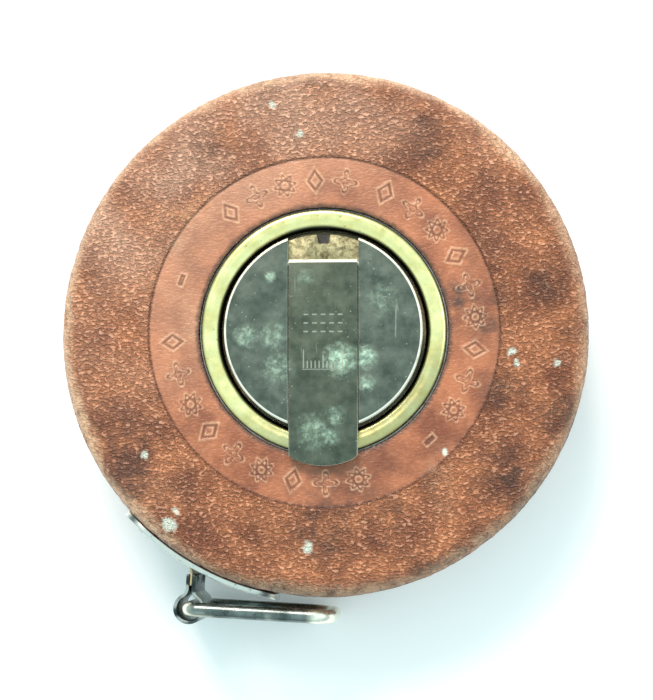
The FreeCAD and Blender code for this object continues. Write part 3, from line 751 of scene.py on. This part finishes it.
def back_profile():
    centre = (CASE_R - CORNER_R, CORNER_R)
    inner_r = CASE_R - LEATHER
    axis_r = 0.01
    return np.concatenate([
        line((inner_r, CAP_WRAP), (CASE_R, CAP_WRAP), 0.45),
        line((CASE_R, CAP_WRAP), (CASE_R, centre[1]), 0.5),
        arc(centre, CORNER_R, 0, -90, 0.45),
        line((centre[0], 0), (axis_r, 0), 0.55),
        line((axis_r, 0), (axis_r, LEATHER), 0.8),
        line((axis_r, LEATHER), (centre[0], LEATHER), 6.0),
        arc(centre, CORNER_R - LEATHER, -90, 0, 0.8),
        line((inner_r, centre[1]), (inner_r, CAP_WRAP), 1.5),
    ])


def rim_profile():
    low, high = CAP_WRAP + SEAM, CASE_H - CAP_WRAP - SEAM
    outer, inner = CASE_R - 0.12, CASE_R - LEATHER
    edge = 0.4
    return np.concatenate([
        line((outer - edge, low), (outer, low + edge), 0.3),
        line((outer, low + edge), (outer, high - edge), 0.42),
        line((outer, high - edge), (outer - edge, high), 0.3),
        line((outer - edge, high), (inner, high), 0.6),
        line((inner, high), (inner, low), 4.0),
        line((inner, low), (outer - edge, low), 0.6),
    ])[::-1]


def open_window(obj):
    """Opens a leather for the tape's way out, behind the mouth plate."""
    lead = PULL_DEG - 90 + math.degrees(math.acos(TAPE_AT_R / (CASE_R - LEATHER + 0.2)))
    cut(obj, slanted_block("tool", lead, 40, 47, OPENING_HALF, OPENING_Z, leather))
    obj.data.shade_smooth()


front = lathe("front_leather_skin", front_profile(), 800, leather, leather_relief, LEATHER_MASKS)
back = lathe("back_leather_skin", back_profile(), 520, leather, leather_relief, LEATHER_MASKS)
rim = lathe("rim_leather_skin", rim_profile(), 720, leather, leather_relief, LEATHER_MASKS)
for piece, node in ((front, "front_leather"), (back, "back_leather"), (rim, "rim_leather")):
    open_window(piece)
    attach(piece, "case")
    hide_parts(node)


# ---- brass hub ring

def bezel_profile():
    """The crowned top, the bore, the tube rolled out inside the case, and the seat on the shell."""
    crown = CASE_H + 0.12
    crown_r = 19.2
    inner_low = crown - 1.31
    roll_low, roll_top = 20.65, 21.1
    return np.concatenate([
        line((BEZEL_OUT_R, SHELL_TOP), (BEZEL_OUT_R, crown - 0.75), 0.3),
        arc((BEZEL_OUT_R - 0.85, crown - 0.85), 0.85, 8, 90, 0.12),
        line((BEZEL_OUT_R - 0.85, crown), (crown_r, crown - 0.02), 0.2),
        line((crown_r, crown - 0.02), (18.5, crown - 0.16), 0.2),
        arc((BEZEL_IN_R + 1.15, inner_low), 1.15, 90, 180, 0.15),
        line((BEZEL_IN_R, inner_low), (BEZEL_IN_R, roll_low), 0.5),
        line((BEZEL_IN_R, roll_low), (ROLL_R, roll_low), 0.9),
        line((ROLL_R, roll_low), (ROLL_R, roll_top), 0.45),
        line((ROLL_R, roll_top), (BEZEL_TUBE_R, roll_top), 0.6),
        line((BEZEL_TUBE_R, roll_top), (BEZEL_TUBE_R, SHELL_TOP), 0.7),
        line((BEZEL_TUBE_R, SHELL_TOP), (BEZEL_OUT_R, SHELL_TOP), 1.0),
    ])[::-1]


def bezel_relief(points, normals):
    return -0.02 + 0.018 * noise(points, 5.0, 101) - 0.03 * step(0.6, 0.9, noise(points, 2.2, 102))


def tarnish_and_shade_mask(points, normals):
    """Tarnish where the ring rolls down inside, and in the crevice by the leather; painted shade over the
    ring's lower right side.
    """
    radius = np.hypot(points[..., 0], points[..., 1]) + 0.12 * noise(points, 2.5, 103)
    lean = points[..., 1] - 0.35 * points[..., 0] + 3.0 * noise(points, 6.0, 104)
    # painted shade on the lower right side of the ring
    shaded = 0.42 * (1 - step(-17.0, -4.0, lean))
    crevice = np.maximum(1 - step(17.75, 18.35, radius), 0.8 * step(20.72, 20.95, radius))
    return np.maximum(crevice, shaded)


bezel = lathe("hub_bezel_ring", bezel_profile(), 420, brass, bezel_relief, {"lip": tarnish_and_shade_mask})
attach(bezel, "case")
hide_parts("hub_bezel")


# ---- hub disc and its channel

def hub_disc():
    """The disc's top, rounded at the edge, with the channel cut across it."""
    edge_r, low = 0.55, CASE_H
    centre = (DISC_R - edge_r, ARM_TOP - edge_r)
    profile = np.concatenate([
        line((0.01, low), (0.01, ARM_TOP), 2.0),
        line((0.01, ARM_TOP), (centre[0], ARM_TOP), 4.0),
        arc(centre, edge_r, 90, 0, 0.09),
        line((DISC_R, centre[1]), (DISC_R, low), 0.7),
        line((DISC_R, low), (0.01, low), 8.0),
    ])
    body = lathe("hub_disc_top", profile, 300, disc_patina)
    heights = (low - 1, ARM_TOP + 1.1)
    cut(body, block("tool", (-CHANNEL_HALF, CHANNEL_HALF), (-20, 20), heights, disc_patina))
    bevelled(body, 0.12, 2)
    return body


def hub_base():
    """The disc's floor, seen in the channel."""
    above = FLOOR_Z + 0.8
    base = prism("hub_disc_base", circle(DISC_NECK_R, 240), DISC_BOTTOM, FLOOR_Z, channel)
    pocket = prism("pocket", circle(POCKET_R, 96, (0, KNOB_Y)), DISC_BOTTOM - 0.2, above, channel)
    recess = prism("recess", circle(RECESS_R, 96), DISC_BOTTOM + 0.9, above, channel)
    bore = prism("bore", circle(AXLE_HOLE_R, 96), DISC_BOTTOM - 0.2, above, channel)
    flared = [(-0.8, 14.9), (0.8, 14.9), (1.3, 17.2), (-1.3, 17.2)]
    notch = prism("notch", flared, FLOOR_Z - 0.9, above, channel)
    seat = block("seat", (-SPRING_HALF, SPRING_HALF), SPRING_Y, (SPRING_Z, above), channel)
    cut(base, pocket, recess, bore, notch, seat)
    bevelled(base, 0.12, 2)
    return base


disc_top = hub_disc()
disc_base = hub_base()
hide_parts("hub_disc")
for piece in (disc_top, disc_base):
    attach(piece, "reel")


# ---- crank arm

def arm_outline():
    """Square at the hinge, a shallow arc at the tip, with the tip's two corners cut off."""
    centre_y = ARM_TIP_Y + ARM_TIP_R
    sweep = math.degrees(math.asin((ARM_HALF - ARM_CORNER) / ARM_TIP_R))
    tip = [on_arc((0, centre_y), ARM_TIP_R, turn - 90) for turn in np.linspace(-sweep, sweep, 25)]
    y = tip[0][1] + ARM_CORNER
    return [(ARM_HALF, PIN_Y), (-ARM_HALF, PIN_Y), (-ARM_HALF, y)] + tip + [(ARM_HALF, y)]


def knuckle():
    """The round end of the arm that the hinge pin goes through."""
    count = 40
    radius = ARM_T / 2
    turn = np.linspace(0, 2 * math.pi, count, endpoint=False)
    ring = np.stack([PIN_Y + radius * np.cos(turn), ARM_TOP - radius + radius * np.sin(turn)], -1)
    verts = [(x, y, z) for x in (-ARM_HALF, ARM_HALF) for y, z in ring]
    faces = [[k, (k + 1) % count, count + (k + 1) % count, count + k] for k in range(count)]
    faces += [list(range(count))[::-1], list(range(count, 2 * count))]
    return new_mesh("knuckle", verts, faces, arm_patina, smooth=False)


def scale_marks():
    """The engraving: a ruler's base line and ticks, and three rows of dashes, as one tool."""
    heights = (ARM_TOP - 0.14, ARM_TOP + 1)
    base_y = -6.6
    last = 10
    bars = [((-3.5, 3.5), (base_y - 0.09, base_y + 0.09))]
    for k in range(last + 1):
        x = -3.3 + 0.66 * k
        tall = 3.4 if k in (0, last) else 2.6 if k == last // 2 else 1.5
        bars.append(((x - 0.12, x + 0.12), (base_y + 0.14, base_y + tall)))
    for row in range(3):
        y = 2.7 - 1.45 * row
        for k in range(5):
            x = -2.9 + 1.45 * k
            bars.append(((x - 0.42, x + 0.42), (y - 0.16, y + 0.16)))
    marks = [block("mark", across, along, heights, arm_patina) for across, along in bars]
    bpy.ops.object.select_all(action="DESELECT")
    for mark in marks:
        mark.select_set(True)
    bpy.context.view_layer.objects.active = marks[0]
    bpy.ops.object.join()
    return marks[0]


def crank_arm():
    arm = prism("crank_arm_plate", arm_outline(), ARM_BOTTOM, ARM_TOP, arm_patina)
    combine(arm, "UNION", knuckle())
    bevelled(arm, 0.14, 3)
    cut(arm, scale_marks())
    arm.data.set_sharp_from_angle(angle=math.radians(32))
    return arm


arm = crank_arm()
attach(arm, "crank")
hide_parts("crank_arm")


# ---- mouth plate

def plate_section(inner, outer, top):
    """The plate cut across at one place: a tall thin outline with rounded corners."""
    r = 0.22
    section = []
    for x, z, start in ((inner + r, top - r, 90), (inner + r, r - top, 180), (outer - r, r - top, 270),
                        (outer - r, top - r, 0)):
        section += [on_arc((x, z), r, degrees) for degrees in np.linspace(start, start + 90, 4)]
    return section


def mouth_plate():
    """A curved plate with rounded corners, its two ends turned a little off the leather."""
    half_deg = PLATE_HALF_DEG
    across = np.linspace(-half_deg, half_deg, 131)
    rows = []
    for degrees in across:
        along = math.radians(half_deg - abs(degrees)) * (CASE_R + 1)
        trim = 0.0
        if along < PLATE_CORNER:
            reach = max(PLATE_CORNER ** 2 - (PLATE_CORNER - along) ** 2, 0.0)
            trim = PLATE_CORNER - math.sqrt(reach)
        lift = 0.30 * step(half_deg - 3.2, half_deg, abs(degrees))
        section = plate_section(CASE_R + 0.06 + lift, CASE_R + 1.02 + lift, PLATE_H / 2 - trim)
        rows.append([polar(radius, MOUTH_DEG + degrees, MID_Z + z) for radius, z in section])
    rows = np.array(rows)
    count = rows.shape[1]
    faces = grid_faces(len(rows), count, False, True)
    faces.append(list(range(count))[::-1])
    faces.append([(len(rows) - 1) * count + k for k in range(count)])
    flat = rows.reshape(-1, 3)
    ends = step(half_deg - 2.0, half_deg - 0.3, np.abs(np.repeat(across, count)))
    edge = step(7.6, 8.8, np.abs(flat[:, 2] - MID_Z)) * 0.75
    plate = new_mesh("mouth_plate_bent", flat, faces, nickel, masks={"rub": np.maximum(ends, edge)})
    slot = (MID_Z - SLOT_HALF_H, MID_Z + SLOT_HALF_H)
    cut(plate, slanted_block("tool", MOUTH_DEG, 44, 48, SLOT_HALF, slot, nickel))
    plate.data.shade_smooth()
    plate.data.set_sharp_from_angle(angle=math.radians(40))
    return plate


plate = mouth_plate()
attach(plate, "case")
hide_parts("mouth_plate")


# ---- end clasp: one sheet folded round the ring and closed on the tape

def clasp_line():
    """Centreline of the folded sheet, from the end of one leaf round the eye to the end of the other."""
    rise = LEAF_OUT + EYE_FILLET
    reach = math.sqrt((EYE_R + EYE_FILLET) ** 2 - rise ** 2)
    bend_u = EYE_U - reach
    tilt = math.degrees(math.atan2(rise, reach))
    mid = LEAF_T / 2
    points = [np.array([u, LEAF_OUT - mid]) for u in np.linspace(CLASP_START, bend_u, 14)]
    for degrees in np.linspace(-90, -tilt, 8)[1:]:
        points.append(on_arc((bend_u, rise), EYE_FILLET + mid, degrees))
    for degrees in np.linspace(180 - tilt, 0, 26)[1:]:
        points.append(on_arc((EYE_U, 0), EYE_R - mid, degrees))
    lower = [np.array([p[0], -p[1]]) for p in points[:-1]][::-1]
    return np.array(points + lower)


def end_clasp():
    flat = clasp_line()
    ahead = np.gradient(flat, axis=0)
    ahead /= np.linalg.norm(ahead, axis=1)[:, None]
    along = polar(1, CLASP_DEG)
    across = polar(1, CLASP_DEG + 90)
    path = [MOUTH + p[0] * along + p[1] * across + np.array([0, 0, MID_Z]) for p in flat]
    frames = [(-t[1] * along + t[0] * across, np.array([0, 0, 1.0])) for t in ahead]
    corner = 0.14
    section = []
    for sx, sz, start in ((1, 1, 0), (-1, 1, 90), (-1, -1, 180), (1, -1, 270)):
        centre = (sx * (LEAF_T / 2 - corner), sz * (CLASP_HALF_W - corner))
        section += [on_arc(centre, corner, degrees) for degrees in np.linspace(start, start + 90, 4)]
    section = np.array(section)

    def rub(rows, _):
        """Bright wear along the sheet's two long edges."""
        edge = step(7.5, 7.8, np.abs(rows[..., 2] - MID_Z))
        return 0.6 * edge * step(-0.2, 0.5, noise(rows, 1.4, 111))

    return swept("end_clasp_fold", np.array(path), frames, section, clasp_steel, masks={"rub": rub})


clasp = end_clasp()
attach(clasp, "clasp")
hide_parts("end_clasp")


# ---- pull ring

def ring_line():
    """The wire's centreline, as (along, height) in the ring's own plane."""
    near_bend, far_bend = 1.9, 3.4
    half = RING_HALF_W
    corners = (
        (near_bend, near_bend - half, near_bend, 180),
        (RING_L - far_bend, far_bend - half, far_bend, 270),
        (RING_L - far_bend, half - far_bend, far_bend, 0),
        (near_bend, half - near_bend, near_bend, 90),
    )
    points = []
    for along, height, bend, start in corners:
        points += [on_arc((along, height), bend, degrees) for degrees in np.linspace(start, start + 90, 15)]
    dense = []
    for here, there in zip(points, points[1:] + points[:1]):
        count = max(1, int(np.linalg.norm(there - here) / 0.45))
        dense += [here + (there - here) * t for t in np.linspace(0, 1, count, endpoint=False)]
    return np.array(dense)


def pull_ring():
    flat = ring_line()
    ahead = np.roll(flat, -1, 0) - np.roll(flat, 1, 0)
    ahead /= np.linalg.norm(ahead, axis=1)[:, None]
    along = polar(1, RING_DEG)
    out = polar(1, RING_DEG + 90)
    up = np.array([0, 0, 1.0])
    path = np.array([EYE + p[0] * along + (MID_Z + p[1]) * up for p in flat])
    frames = [(out, -t[1] * along + t[0] * up) for t in ahead]

    def rub(rows, _):
        """Bright wear at the ring's two ends."""
        place = (rows - EYE) @ along
        far = step(19.5, 23.2, place + 0.8 * noise(rows, 2.0, 121))
        near = 1 - step(-0.6, 1.2, place)
        patches = step(0.3, 0.8, noise(rows, 1.6, 122))
        return np.clip(0.9 * far + 0.9 * near + 0.25 * patches, 0, 1)

    wire = circle(WIRE_R, 28)
    return swept("pull_ring_wire", path, frames, wire, ring_steel, closed=True, masks={"rub": rub})


ring = pull_ring()
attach(ring, "ring")
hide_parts("pull_ring")


# ---- the tape that comes out, with its printed divisions

def tape_strip():
    """From the coil to inside the clasp; it bends at the mouth."""
    pull = polar(1, PULL_DEG)
    down = polar(1, CLASP_DEG)
    points = [MOUTH + pull * s for s in np.linspace(-LEADER_LEN, -BEND, 120)]
    start, end = MOUTH - pull * BEND, MOUTH + down * BEND
    for t in np.linspace(0, 1, 14)[1:]:
        points.append((1 - t) ** 2 * start + 2 * t * (1 - t) * MOUTH + t * t * end)
    points += [MOUTH + down * u for u in np.linspace(1.8, 2.95, 5)]
    path = np.array(points) + np.array([0, 0, MID_Z])
    ahead = np.gradient(path, axis=0)
    ahead /= np.linalg.norm(ahead, axis=1)[:, None]
    frames = [(np.array([-t[1], t[0], 0]), np.array([0, 0, 1.0])) for t in ahead]
    heights = np.linspace(-TAPE_HALF_W, TAPE_HALF_W, 61)
    section = np.array([(0.17, z) for z in heights] + [(-0.17, z) for z in heights[::-1]])
    travelled = np.concatenate([[0], np.cumsum(np.linalg.norm(np.diff(path, axis=0), axis=1))])
    travelled = travelled[-1] - travelled
    s = np.repeat(travelled, len(section)).reshape(len(path), len(section))

    def ink(rows, _):
        """A line along each edge, with a tick every 2 mm and a long one every 10 mm."""
        z = np.abs(rows[..., 2] - MID_Z)
        borders = np.exp(-(z - 6.9) ** 2 / 0.012)
        tick = np.exp(-((s + 1.0) % 2.0 - 1.0) ** 2 / 0.02) * (z > 5.2) * (z < 6.9)
        long_tick = np.exp(-((s + 5.0) % 10.0 - 5.0) ** 2 / 0.03) * (z > 2.5) * (z < 6.9)
        return np.clip(borders + tick + long_tick, 0, 1)

    return swept("tape_end_strip", path, frames, section, linen, masks={"ink": ink})


strip = tape_strip()
bend_start = (MOUTH - polar(BEND, PULL_DEG)) * MM
bend_end = (MOUTH + polar(BEND, CLASP_DEG)) * MM
bend_start[2] = bend_end[2] = MID_Z * MM
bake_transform(strip)
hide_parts("tape_leader", "tape_tip")


# ---- the CAD pieces that show as they are

CAD_FINISH = {
    "front_shell": tin, "back_shell": tin, "bezel_clinch_ring": tin, "axle_stud": turned,
    "axle_washer": brass, "axle_screw": turned, "thrust_washer": turned, "mouth_liner": tin,
    "mouth_rivets": nickel,
    "crank_spring": turned, "spring_rivet": brass, "crank_pin": turned, "drum_core": tin,
    "tape_anchor_pin": turned, "drum_bush": brass, "drum_plate": tin, "drum_screws": turned,
    "tape_coil": linen, "knob_stud": turned, "crank_knob": brass, "clasp_rivets": clasp_steel,
}
for node, material in CAD_FINISH.items():
    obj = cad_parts[node]
    obj.data.materials.clear()
    obj.data.materials.append(material)


# ---- studio

def studio():
    """A pale floor that glows a little, a sky brighter overhead, and two soft lights."""
    floor_finish = Finish("pale_floor", roughness=0.9)
    floor_color = floor_finish.mix(floor_finish.noise(60.0, 2.0), (0.93, 0.94, 0.94), (0.96, 0.96, 0.96))
    floor_finish.finish(floor_color)
    floor_finish.shader.inputs["Emission Color"].default_value = (0.80, 0.98, 1.0, 1.0)
    floor_finish.shader.inputs["Emission Strength"].default_value = 0.13
    half = 9000.0
    floor = new_mesh("floor", [(-half, -half, 0), (half, -half, 0), (half, half, 0), (-half, half, 0)],
                     [[0, 1, 2, 3]], floor_finish.material, smooth=False)

    world = bpy.data.worlds.new("studio")
    bpy.context.scene.world = world
    world.use_nodes = True
    nodes, links = world.node_tree.nodes, world.node_tree.links
    background = nodes["Background"]
    background.inputs["Color"].default_value = (0.76, 0.975, 1.0, 1.0)
    place = nodes.new("ShaderNodeTexCoord")
    split = nodes.new("ShaderNodeSeparateXYZ")
    lift = nodes.new("ShaderNodeMapRange")
    links.new(place.outputs["Generated"], split.inputs[0])
    links.new(split.outputs[2], lift.inputs["Value"])
    for socket, value in (("From Min", 0.05), ("From Max", 0.75), ("To Min", 0.50), ("To Max", 1.08)):
        lift.inputs[socket].default_value = value
    links.new(lift.outputs["Result"], background.inputs["Strength"])

    def panel(name, at, aim, width, height, power, color):
        light = bpy.data.lights.new(name, "AREA")
        light.shape = "RECTANGLE"
        light.size = width
        light.size_y = height
        light.energy = power
        light.color = color
        obj = bpy.data.objects.new(name, light)
        obj.location = at
        obj.rotation_euler = (Vector(aim) - Vector(at)).to_track_quat("-Z", "Y").to_euler()
        bpy.context.scene.collection.objects.link(obj)

    panel("key", (-0.16, 0.54, 0.60), (0, 0, 0.01), 0.36, 0.36, 6.0, (1.0, 0.80, 0.72))
    panel("fill", (0.50, 0.10, 0.45), (0, 0, 0.01), 0.30, 0.30, 0.6, (1.0, 0.92, 0.88))


studio()
bpy.context.scene.view_settings.view_transform = "Standard"


# ---- camera

def camera():
    """Almost straight above, leaning a little to the right and the near side."""
    data = bpy.data.cameras.new("camera")
    data.sensor_width = 36.0
    data.lens = 105.5
    data.clip_start = 0.01
    obj = bpy.data.objects.new("camera", data)
    bpy.context.scene.collection.objects.link(obj)
    bpy.context.scene.camera = obj
    aim = Vector((0.35, -2.98, 21.0)) * MM
    distance = 350 * MM
    lean_right, lean_low = math.radians(2.9), math.radians(4.6)
    back = Vector((math.tan(lean_right), -math.tan(lean_low), 1.0)).normalized()
    obj.location = aim + back * distance
    up = Vector((0, 1, 0))
    up = (up - back * up.dot(back)).normalized()
    right = up.cross(back)
    obj.rotation_euler = Matrix((right, up, back)).transposed().to_euler()


camera()
